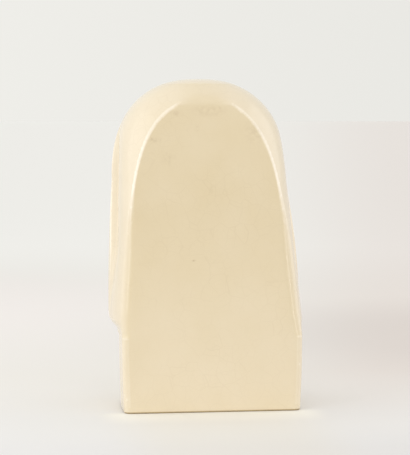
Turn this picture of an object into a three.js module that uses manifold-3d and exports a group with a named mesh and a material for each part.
import * as THREE from 'three';
import { mergeVertices } from 'three/addons/utils/BufferGeometryUtils.js';
import Module from 'manifold-3d';

// A veiled madonna bust, slip cast in one piece with its plinth, in millimetres with +Z up.
// She faces -Y and her flat back faces +Y. While the body is shaped, a depth is a distance
// forward of that flat back, x is counted from the plinth's middle, and z from the underside.

// Driving dimensions of the veil
const CROWN_Z = 268;
const VEIL_MIDDLE = 48;
const VEIL_SPRING_Z = 185;
const VEIL_HALF_WIDTH = 73;
const VEIL_FLARE = 6.2;
const VEIL_FRONT_DEPTH = 58;
const VEIL_FRONT_DEPTH_LOW = 53;
const VEIL_HEM_Z = 74;
const HEM_UNDERCUT = 5.9;
const HEAD_LEAN = 0.029;
const VEIL_SHIFT = 1.1;
const SECTION_POWER = 2.2;
const DOME_POWERS = [2.25, 2.4];

// Driving dimensions of the flat back
const BACK_HALF_WIDTH = 72;
const BACK_TAPER = 0.1;
const BACK_SHIFT = 1.2;
const BACK_SPRING_Z = 121;
const BACK_TOP_Z = 250.6;
const BACK_POWERS = [3.9, 2.4];
const BACK_EDGE_LOW = 3.4;
const BACK_EDGE_HIGH = 1.2;
const BACK_EDGE_TOP = 2.4;

// Driving dimensions of the plinth
const PLINTH_HEIGHT = 62;
const PLINTH_HALF_WIDTH = 73.3;
const PLINTH_DEPTH = 104;
const PLINTH_CORNER = 6;
const PLINTH_SHOULDER = 20;
const PLINTH_TAPER = 0.022;
const PLINTH_EDGE = 1.4;
const PLINTH_POWER = 2.8;

// Driving dimensions of the face opening and the face
const OPENING_Z = 178;
const OPENING_HALF_WIDTH = 41;
const OPENING_RISE = 49;
const OPENING_NECK_HALF = 29;
const OPENING_FACE_DEPTH = 100;
const OPENING_FOCUS = 22;
const ROLL_RADIUS = 3.2;
const CHIN_Z = 103;
const CHEEK_Z = 169;
const CHEEK_HALF_WIDTH = 46;
const FACE_DEPTH = 105.5;
const BROW_Z = 191;
const EYE_Z = 180;
const NOSE_Z = 147;
const MOUTH_Z = 133.4;
const EYE_SPACING = 20;

const { abs, atan2, cos, exp, max, min, PI, pow, sign, sin } = Math;
const TINY = 1e-4;
const FAR = 200;
const clamp = (v) => min(max(v, 0), 1);
const ease = (v) => clamp(v) ** 2 * (3 - 2 * clamp(v));
const mix = (a, b, v) => a + (b - a) * v;
const hill = (a, b, wa, wb) => exp(-((a / wa) ** 2) - (b / wb) ** 2);

// A superellipse's height over its half span, which runs on below zero past the span's end.
function arch(u, inner, outer) {
  const rest = 1 - pow(max(u, 0), inner);
  return sign(rest) * pow(abs(rest), 1 / outer);
}

// Distance from the middle of a superellipse to its rim, in the direction of across and along.
function rim(across, along, halfWidth, halfDepth, power) {
  return pow(pow(abs(across) / halfWidth, power) + pow(abs(along) / halfDepth, power), -1 / power);
}

// The plinth stands straight. The veil sits a little to her left on it, and leans that way.
const leanAt = (z) => VEIL_SHIFT * ease((z - PLINTH_HEIGHT) / 20) + HEAD_LEAN * max(0, z - PLINTH_HEIGHT);

// Veil

function veilHalfWidth(z) {
  if (z > VEIL_SPRING_Z) {
    return VEIL_HALF_WIDTH * max(arch((z - VEIL_SPRING_Z) / (CROWN_Z - VEIL_SPRING_Z), ...DOME_POWERS), 0);
  }
  const drop = clamp((VEIL_SPRING_Z - z) / (VEIL_SPRING_Z - VEIL_HEM_Z));
  return VEIL_HALF_WIDTH + VEIL_FLARE * (1 - pow(1 - drop, 1.6));
}

// Half width of the flat back. The arch stands a little to her left, so her left side is wider.
// aside runs from -1 on her right to 1 on her left.
function backHalfWidth(z, aside) {
  const straight = BACK_HALF_WIDTH - BACK_TAPER * max(0, z - PLINTH_HEIGHT);
  const shift = BACK_SHIFT * ease((z - 120) / 60) * aside;
  return straight * arch((z - BACK_SPRING_Z) / (BACK_TOP_Z - BACK_SPRING_Z), ...BACK_POWERS) + shift;
}

// Half depth of the veil's section behind its middle, such that it meets the flat back's outline.
function veilBackDepth(z, aside) {
  const wide = veilHalfWidth(z);
  const back = backHalfWidth(z, aside);
  const missing = pow(wide, SECTION_POWER) - sign(back) * pow(abs(back), SECTION_POWER);
  return (VEIL_MIDDLE * wide) / pow(max(missing, TINY), 1 / SECTION_POWER);
}

function veilFrontDepth(z) {
  const low = mix(VEIL_FRONT_DEPTH_LOW, VEIL_FRONT_DEPTH, ease((z - VEIL_HEM_Z) / 85));
  return (low * min(veilHalfWidth(z), VEIL_HALF_WIDTH)) / VEIL_HALF_WIDTH;
}

// The front layer of the veil stands proud of the back layer. Its edge runs down each flank at
// this depth, the step there is deepest at the level of the cheeks, and LAYER_FOLD is how far
// forward the step takes to rise.
const LAYER_FOLD = 8;
const LAYER_STEP = 6.4;
function layerEdgeDepth(z) {
  return 32 + 16 * ease((z - 125) / 65) + 4 * ease((110 - z) / 40);
}

function layerStep(z) {
  return LAYER_STEP * ease((z - 66) / 95) * (1 - ease((z - 196) / 44));
}

function layerValley(depth, z) {
  const edge = layerEdgeDepth(z);
  if (depth > edge + LAYER_FOLD) return 0;
  if (depth > edge) return (1 + cos((PI * (depth - edge)) / LAYER_FOLD)) / 2;
  return pow(max(depth, 0) / edge, 1.3);
}

// Soft folds that open downwards beside the neck, on both sides. Each is a valley at an angle
// from the front, in degrees, that turns a little on its way up to the cheeks and fades there.
const SIDE_FOLDS = [
  { angle: 43, turnsBy: 4, valley: 2.8, half: 5 },
  { angle: 58, turnsBy: 2, valley: 2.6, half: 5.5 },
  { angle: 73, turnsBy: -1, valley: 1.9, half: 6 },
];

function foldDepth(turn, z) {
  const rise = clamp((z - VEIL_HEM_Z) / (VEIL_SPRING_Z - VEIL_HEM_Z));
  const degrees = abs(THREE.MathUtils.radToDeg(turn));
  let depth = 0;
  for (const f of SIDE_FOLDS) {
    depth += f.valley * (1 - ease(rise)) * exp(-(((degrees - f.angle - f.turnsBy * rise) / f.half) ** 2));
  }
  return depth;
}

function veilRadius(turn, z) {
  const along = cos(turn);
  const half = along < 0 ? veilBackDepth(z, sin(turn)) : veilFrontDepth(z);
  const plain = rim(sin(turn), along, max(veilHalfWidth(z), TINY), max(half, TINY), SECTION_POWER);
  const depth = VEIL_MIDDLE + plain * along;
  const valley = layerStep(z) * layerValley(depth, z) * pow(abs(sin(turn)), 3);
  const hem = HEM_UNDERCUT * ease((VEIL_HEM_Z - z) / (VEIL_HEM_Z - PLINTH_HEIGHT)) * ease(depth / 28);
  return plain - valley - hem - foldDepth(turn, z);
}

// A closed skin over a sphere's grid. place gets the angle from the front, positive towards her
// left, and the way down from the top pole to the bottom one as 0 to 1. crowd packs columns
// towards the front.
function skin(columns, rows, crowd, place) {
  const g = new THREE.SphereGeometry(1, columns, rows);
  g.deleteAttribute('normal');
  g.deleteAttribute('uv');
  const spots = g.getAttribute('position');
  for (let i = 0; i < spots.count; i++) {
    const column = (i % (columns + 1)) % columns;
    const even = 2 * PI * (column / columns - 0.25);
    const down = Math.floor(i / (columns + 1)) / rows;
    const [x, depth, z] = place(even - crowd * sin(even), down);
    spots.setXYZ(i, x, -depth, z);
  }
  return mergeVertices(g, TINY);
}

const VEIL_COLUMNS = 76;
const VEIL_ROWS = 36;
const VEIL_CROWD = 0.3;
const VEIL_FOOT_Z = 50;

// One column of the grid on each flank is led along the edge of the front layer.
const LAYER_COLUMN = 2 * PI * (Math.round(VEIL_COLUMNS * 0.31) / VEIL_COLUMNS);
const LAYER_COLUMN_TURN = LAYER_COLUMN - VEIL_CROWD * sin(LAYER_COLUMN);
const layerTurn = (z) => PI / 2 + atan2(VEIL_MIDDLE - layerEdgeDepth(z), veilHalfWidth(VEIL_SPRING_Z));

function veil() {
  const dome = 0.34;
  const side = 0.86;
  const hem = 0.94;
  return skin(VEIL_COLUMNS, VEIL_ROWS, VEIL_CROWD, (even, down) => {
    let z = VEIL_FOOT_Z;
    let reach = 1;
    if (down < dome) z = mix(VEIL_SPRING_Z, CROWN_Z, pow(cos((PI * down) / dome / 2), 0.9));
    else if (down < side) z = mix(VEIL_SPRING_Z, VEIL_HEM_Z, (down - dome) / (side - dome));
    else if (down < hem) z = mix(VEIL_HEM_Z, PLINTH_HEIGHT, (down - side) / (hem - side));
    else reach = 1 - (down - hem) / (1 - hem);
    const turn = even + (layerTurn(z) - LAYER_COLUMN_TURN) * sin(even) * abs(sin(even));
    const r = down === 0 || down === 1 ? 0 : reach * veilRadius(turn, z);
    return [leanAt(z) + r * sin(turn), VEIL_MIDDLE + r * cos(turn), z];
  });
}

// Distance from the flat back's waist to its outline, at an angle from straight up
const BACK_WAIST_Z = 140;
function backReach(turn) {
  let inside = 0;
  let outside = CROWN_Z;
  while (outside - inside > TINY) {
    const r = (inside + outside) / 2;
    const z = BACK_WAIST_Z + r * cos(turn);
    const x = r * sin(turn);
    const aside = x / Math.hypot(x, VEIL_MIDDLE);
    const fits = z > VEIL_FOOT_Z && z < BACK_TOP_Z && abs(x) < backHalfWidth(z, aside);
    if (fits) inside = r;
    else outside = r;
  }
  return inside;
}

// Width of the bevel on the flat back's edge: crisp over the arch's shoulders, softer down the
// sides, and softest at the very top
function backEdgeWidth(x, z) {
  const atTop = ease((z - 236) / 12) * (1 - ease((abs(x) - 8) / 14));
  return mix(mix(BACK_EDGE_LOW, BACK_EDGE_HIGH, ease((z - 110) / 100)), BACK_EDGE_TOP, atTop);
}

// A body that takes a narrow bevel off the edge all round the flat back. It starts just behind
// the back, inside its outline, and opens twice as fast sideways as forwards.
function backEdge() {
  const depths = [-1, -1, 60, FAR, FAR];
  const last = depths.length - 1;
  return skin(96, last, 0, (turn, down) => {
    const step = Math.round(last * down);
    const depth = depths[step];
    if (step === 0 || step === last) return [leanAt(BACK_WAIST_Z), depth, BACK_WAIST_Z];
    const reach = backReach(turn);
    const edge = backEdgeWidth(reach * sin(turn), BACK_WAIST_Z + reach * cos(turn));
    const r = reach + 2 * min(depth, depths[2]) - edge;
    return [leanAt(BACK_WAIST_Z + reach * cos(turn)) + r * sin(turn), depth, BACK_WAIST_Z + r * cos(turn)];
  });
}

// Face opening in the veil: an arch over the forehead, drawn in at the neck. Its walls run
// towards an upright line inside the head, so that the mould could be drawn off forwards.

const OPENING_LIFT = 0.8;
const openingScale = (depth) => (depth - OPENING_FOCUS) / (OPENING_FACE_DEPTH - OPENING_FOCUS);

// A point of the opening's outline at the depth of the face, moved along the wall to this depth
function onWall(x, z, depth) {
  const scale = openingScale(depth);
  const level = OPENING_Z + (z - OPENING_Z) * (z > OPENING_Z ? mix(1, scale, OPENING_LIFT) : 1);
  return [x * scale, level];
}

function openingHalfWidth(z) {
  if (z > OPENING_Z) return OPENING_HALF_WIDTH * max(arch((z - OPENING_Z) / OPENING_RISE, 2.1, 2), 0);
  return mix(OPENING_HALF_WIDTH, OPENING_NECK_HALF, ease((OPENING_Z - z) / 92));
}

// Level of a point on the outline, which runs from -1 at her right foot of it over the top, at
// 0, to 1 at her left foot. Half of it is the arch.
function edgeLevel(along) {
  const far = abs(along);
  if (far < 0.5) return OPENING_Z + OPENING_RISE * cos(PI * far);
  return mix(OPENING_Z, VEIL_FOOT_Z + 2, 2 * far - 1);
}

function opening() {
  const steps = 36;
  const outline = new THREE.Shape();
  for (let i = -steps; i <= steps; i++) {
    const z = edgeLevel(i / steps);
    const x = sign(i) * openingHalfWidth(z);
    if (i === -steps) outline.moveTo(x, z);
    else outline.lineTo(x, z);
  }
  const near = 60;
  const far = 140;
  const g = new THREE.ExtrudeGeometry(outline, { depth: far - near, bevelEnabled: false, curveSegments: 1 });
  g.rotateX(PI / 2);
  g.deleteAttribute('normal');
  g.deleteAttribute('uv');
  const spots = g.getAttribute('position');
  for (let i = 0; i < spots.count; i++) {
    const depth = near - spots.getY(i);
    const [x, z] = onWall(spots.getX(i), spots.getZ(i), depth);
    spots.setXYZ(i, leanAt(z) + x, -depth, z);
  }
  return mergeVertices(g, TINY);
}

// Rolled hem that runs along the opening's edge, from the plinth up over the forehead and down

function edgePoint(along) {
  const z = edgeLevel(along);
  const x = sign(along) * openingHalfWidth(z);
  let depth = OPENING_FACE_DEPTH;
  for (let i = 0; i < 12; i++) {
    const [across, level] = onWall(x, z, depth);
    const turn = atan2(across, depth - VEIL_MIDDLE);
    depth = VEIL_MIDDLE + veilRadius(turn, level) * cos(turn);
  }
  const [across, level] = onWall(x, z, depth);
  return new THREE.Vector3(leanAt(level) + across, depth, level);
}

function rolledHem() {
  const rows = 52;
  const sunk = 1;
  return skin(8, rows, 0, (turn, down) => {
    const along = mix(-1, 1, clamp((down - 1 / rows) / (1 - 2 / rows)));
    const spot = edgePoint(along);
    if (down === 0 || down === 1) return spot.toArray();
    const ahead = edgePoint(min(along + 0.01, 1)).sub(edgePoint(max(along - 0.01, -1))).normalize();
    const out = new THREE.Vector3(spot.x - leanAt(spot.z), spot.y - VEIL_MIDDLE, 0).normalize();
    const side = new THREE.Vector3().crossVectors(ahead, out).normalize();
    out.crossVectors(side, ahead);
    spot.addScaledVector(out, ROLL_RADIUS * cos(turn) - sunk);
    spot.addScaledVector(side, ROLL_RADIUS * sin(turn));
    return spot.toArray();
  });
}

// Head

const HEAD_POWER = 2.2;
const SKULL_RISE = 92;
const JAW_POWERS = [2.1, 1.6];
const CHIN_POWERS = [14, 2.4];
const UNDER_CHIN_DEPTH = 84;
const NAPE_DEPTH = 50;
const FOREHEAD_Z = 193;
const FOREHEAD_CURVE = 0.0088;

function headHalfWidth(z) {
  if (z > CHEEK_Z) return CHEEK_HALF_WIDTH * max(arch((z - CHEEK_Z) / SKULL_RISE, HEAD_POWER, HEAD_POWER), 0);
  return CHEEK_HALF_WIDTH * max(arch((CHEEK_Z - z) / (CHEEK_Z - CHIN_Z), ...JAW_POWERS), 0);
}

function headBackDepth(z) {
  return mix(UNDER_CHIN_DEPTH, NAPE_DEPTH, ease((z - CHIN_Z) / 36));
}

function headFrontDepth(z) {
  const profile = FACE_DEPTH - FOREHEAD_CURVE * max(0, z - FOREHEAD_Z) ** 2;
  const closing = max(arch((CHEEK_Z - z) / (CHEEK_Z - CHIN_Z), ...CHIN_POWERS), 0);
  return mix(headBackDepth(z), profile, closing);
}

// Soft swellings and hollows of the face over its plain oval. Each has its distance from the
// middle line (both sides where that isn't 0), its level, half width, half height and height.
const FACE_FORMS = [
  { across: EYE_SPACING - 1, z: EYE_Z + 2.5, wide: 12.5, high: 8.6, rise: -6.8 },
  { across: EYE_SPACING, z: EYE_Z - 1.4, wide: 8.8, high: 5.8, rise: 5.4 },
  { across: 29, z: 162, wide: 13, high: 13, rise: 3 },
  { across: 41, z: 198, wide: 9, high: 14, rise: -2 },
  { across: 26, z: 139, wide: 9, high: 11, rise: -1.6 },
  { across: 9, z: NOSE_Z + 4, wide: 3.8, high: 4.4, rise: 4.2 },
  { across: 0, z: NOSE_Z + 5.5, wide: 6, high: 5, rise: 1.8 },
  { across: 0, z: MOUTH_Z + 0.6, wide: 16, high: 12, rise: 4 },
  { across: 4.2, z: MOUTH_Z + 3.8, wide: 5.6, high: 3.2, rise: 2.8 },
  { across: 0, z: MOUTH_Z - 4.4, wide: 8.6, high: 3.8, rise: 3.6 },
  { across: 0, z: MOUTH_Z + 9.5, wide: 2.6, high: 4, rise: -1 },
  { across: 0, z: MOUTH_Z - 11, wide: 11, high: 3.6, rise: -1.9 },
  { across: 0, z: CHIN_Z + 8.5, wide: 13, high: 9, rise: 8.5 },
];

function features(x, z) {
  const ax = abs(x);
  let h = 0;
  for (const f of FACE_FORMS) h += f.rise * hill((f.across ? ax : x) - f.across, z - f.z, f.wide, f.high);
  const brow = BROW_Z + 2 + 3 * sin(PI * clamp((ax - 3) / 40));
  h += 2.2 * exp(-(((z - brow) / 5.4) ** 2)) * (1 - ease((ax - 26) / 16));
  const nose = 14 * ease((BROW_Z + 2 - z) / 46) * ease((z - NOSE_Z + 3.2) / 7.5);
  h += nose * exp(-((ax / mix(5.6, 9.6, ease((BROW_Z - 3 - z) / 34))) ** 2));
  h -= 2.2 * exp(-(((z - MOUTH_Z) / 2.1) ** 2)) * (1 - ease((ax - 7) / 7));
  return h;
}

function headPoint(turn, z) {
  const half = headHalfWidth(z);
  const front = headFrontDepth(z);
  const back = headBackDepth(z);
  const middle = mix(back, front, HEAD_MIDDLE);
  const across = sin(turn);
  const x = half * sign(across) * pow(abs(across), 2 / HEAD_POWER);
  if (cos(turn) < 0) return [leanAt(z) + x, mix(middle, back, -cos(turn)), z];
  const bow = pow(cos(turn), 2 / HEAD_POWER);
  return [leanAt(z) + x, mix(middle, front + features(x, z) * ease(bow * 2), bow), z];
}

const HEAD_COLUMNS = 48;
const HEAD_ROWS = 50;
const HEAD_TOP_Z = 240;
const HEAD_MIDDLE = 0.42;
function head() {
  const hidden = 3 / HEAD_ROWS;
  const hiddenZ = 226;
  return skin(HEAD_COLUMNS, HEAD_ROWS, 0.45, (turn, down) => {
    let z = mix(HEAD_TOP_Z, hiddenZ, down / hidden);
    if (down > hidden) z = mix(hiddenZ, CHIN_Z, (down - hidden) / (1 - hidden));
    if (down > 0 && down < 1) return headPoint(turn, z);
    return [leanAt(z), mix(headBackDepth(z), headFrontDepth(z), HEAD_MIDDLE), z];
  });
}

// Neck, and the mantle that crosses over the chest in a V above the plinth

const NECK_RADIUS = 26;
const NECK_FOOT_SPREAD = 7;
const NECK_TOP_SPREAD = 3;
const NECK_TOP_Z = 136;
const NECK_DEPTH = 56;
function neck() {
  const cap = 0.1;
  return skin(32, 12, 0.2, (turn, down) => {
    const z = mix(NECK_TOP_Z, VEIL_FOOT_Z, clamp((down - cap) / (1 - 2 * cap)));
    const foot = NECK_FOOT_SPREAD * ease((84 - z) / 26);
    const spread = NECK_RADIUS + foot + NECK_TOP_SPREAD * ease((z - 96) / 20);
    const reach = min(1, down / cap, (1 - down) / cap);
    const r = reach * rim(sin(turn), cos(turn), spread, spread - 1, 2);
    return [leanAt(z) + r * sin(turn), NECK_DEPTH + r * cos(turn), z];
  });
}

const MANTLE_LOW_Z = 74;
const MANTLE_SLOPE = 0.75;
const MANTLE_HALF_WIDTH = 50;
const MANTLE_HALF_DEPTH = 40;
const MANTLE_MIDDLE = 54;
const MANTLE_POWER = 2.6;
const MANTLE_COLUMNS = 48;
const MANTLE_ROWS = 18;
function mantle() {
  const top = 0.3;
  const foot = 0.9;
  return skin(MANTLE_COLUMNS, MANTLE_ROWS, 0.35, (turn, down) => {
    const reach = min(1, down / top, (1 - down) / (1 - foot));
    const r = reach * rim(sin(turn), cos(turn), MANTLE_HALF_WIDTH, MANTLE_HALF_DEPTH, MANTLE_POWER);
    const x = r * sin(turn);
    const depth = MANTLE_MIDDLE + r * cos(turn);
    const behind = max(0, MANTLE_MIDDLE + MANTLE_HALF_DEPTH - depth);
    const level = MANTLE_LOW_Z + MANTLE_SLOPE * abs(x) + 0.35 * behind;
    const z = mix(level - 6 * reach ** 6, VEIL_FOOT_Z, clamp((down - top) / (foot - top)));
    return [x, depth, z];
  });
}

// Plinth: flat behind, with rounded back corners and a bowed front

function plinth() {
  const outline = new THREE.Shape();
  const corner = PLINTH_HALF_WIDTH - PLINTH_CORNER;
  outline.moveTo(-corner, 0);
  outline.lineTo(corner, 0);
  outline.absarc(corner, PLINTH_CORNER, PLINTH_CORNER, -PI / 2, 0, false);
  const bow = PLINTH_DEPTH - PLINTH_SHOULDER;
  const steps = 28;
  for (let i = 0; i <= steps; i++) {
    const turn = (PI * i) / steps;
    const r = rim(cos(turn), sin(turn), PLINTH_HALF_WIDTH, bow, PLINTH_POWER);
    outline.lineTo(r * cos(turn), PLINTH_SHOULDER + r * sin(turn));
  }
  outline.absarc(-corner, PLINTH_CORNER, PLINTH_CORNER, PI, 1.5 * PI, false);
  const g = new THREE.ExtrudeGeometry(outline, {
    depth: PLINTH_HEIGHT - 2 * PLINTH_EDGE,
    steps: 2,
    curveSegments: 5,
    bevelThickness: PLINTH_EDGE,
    bevelSize: PLINTH_EDGE,
    bevelOffset: -PLINTH_EDGE,
    bevelSegments: 2,
  });
  g.deleteAttribute('normal');
  g.deleteAttribute('uv');
  g.translate(0, 0, PLINTH_EDGE);
  const spots = g.getAttribute('position');
  for (let i = 0; i < spots.count; i++) {
    const z = spots.getZ(i);
    const narrow = 1 - PLINTH_TAPER * (1 - z / PLINTH_HEIGHT) ** 2;
    spots.setXYZ(i, spots.getX(i) * narrow, -spots.getY(i), z);
  }
  return mergeVertices(turnedInsideOut(g), TINY);
}

// The same triangles with their winding reversed, for a shape that a mirroring turned inside out.
function turnedInsideOut(geometry) {
  const g = geometry.index ? geometry.toNonIndexed() : geometry;
  const spots = g.getAttribute('position');
  const second = new THREE.Vector3();
  const third = new THREE.Vector3();
  for (let i = 0; i < spots.count; i += 3) {
    second.fromBufferAttribute(spots, i + 1);
    third.fromBufferAttribute(spots, i + 2);
    spots.setXYZ(i + 1, third.x, third.y, third.z);
    spots.setXYZ(i + 2, second.x, second.y, second.z);
  }
  return g;
}

// Everything in front of the flat back. Its own far sides lie well outside the bust.
function frontOfBack() {
  const g = new THREE.BoxGeometry(2 * FAR, 2 * FAR, 2 * FAR);
  g.deleteAttribute('normal');
  g.deleteAttribute('uv');
  g.translate(0, -FAR, CROWN_Z / 2);
  return mergeVertices(g, TINY);
}

// Joining

const wasm = await Module();
wasm.setup();

function solid(geometry) {
  const vertProperties = new Float32Array(geometry.getAttribute('position').array);
  const triVerts = new Uint32Array(geometry.index.array);
  return new wasm.Manifold(new wasm.Mesh({ numProp: 3, vertProperties, triVerts }));
}

function geometryOf(manifold) {
  const mesh = manifold.getMesh();
  const g = new THREE.BufferGeometry();
  g.setAttribute('position', new THREE.BufferAttribute(mesh.vertProperties, 3));
  g.setIndex(new THREE.BufferAttribute(mesh.triVerts, 1));
  return g;
}

const body = solid(veil())
  .intersect(solid(backEdge()))
  .subtract(solid(opening()))
  .add(solid(rolledHem()))
  .add(solid(head()))
  .add(solid(neck()))
  .add(solid(mantle()))
  .add(solid(plinth()))
  .intersect(solid(frontOfBack()));

const geometry = geometryOf(body);
geometry.computeBoundingBox();
const middle = geometry.boundingBox.getCenter(new THREE.Vector3());
geometry.translate(-middle.x, -middle.y, 0);

const glaze = new THREE.MeshStandardMaterial({ color: 0xe9d9b8, roughness: 0.22, metalness: 0 });
const bust = new THREE.Mesh(geometry, glaze);
bust.name = 'madonna_bust';

const part = new THREE.Group();
part.add(bust);

export default part;
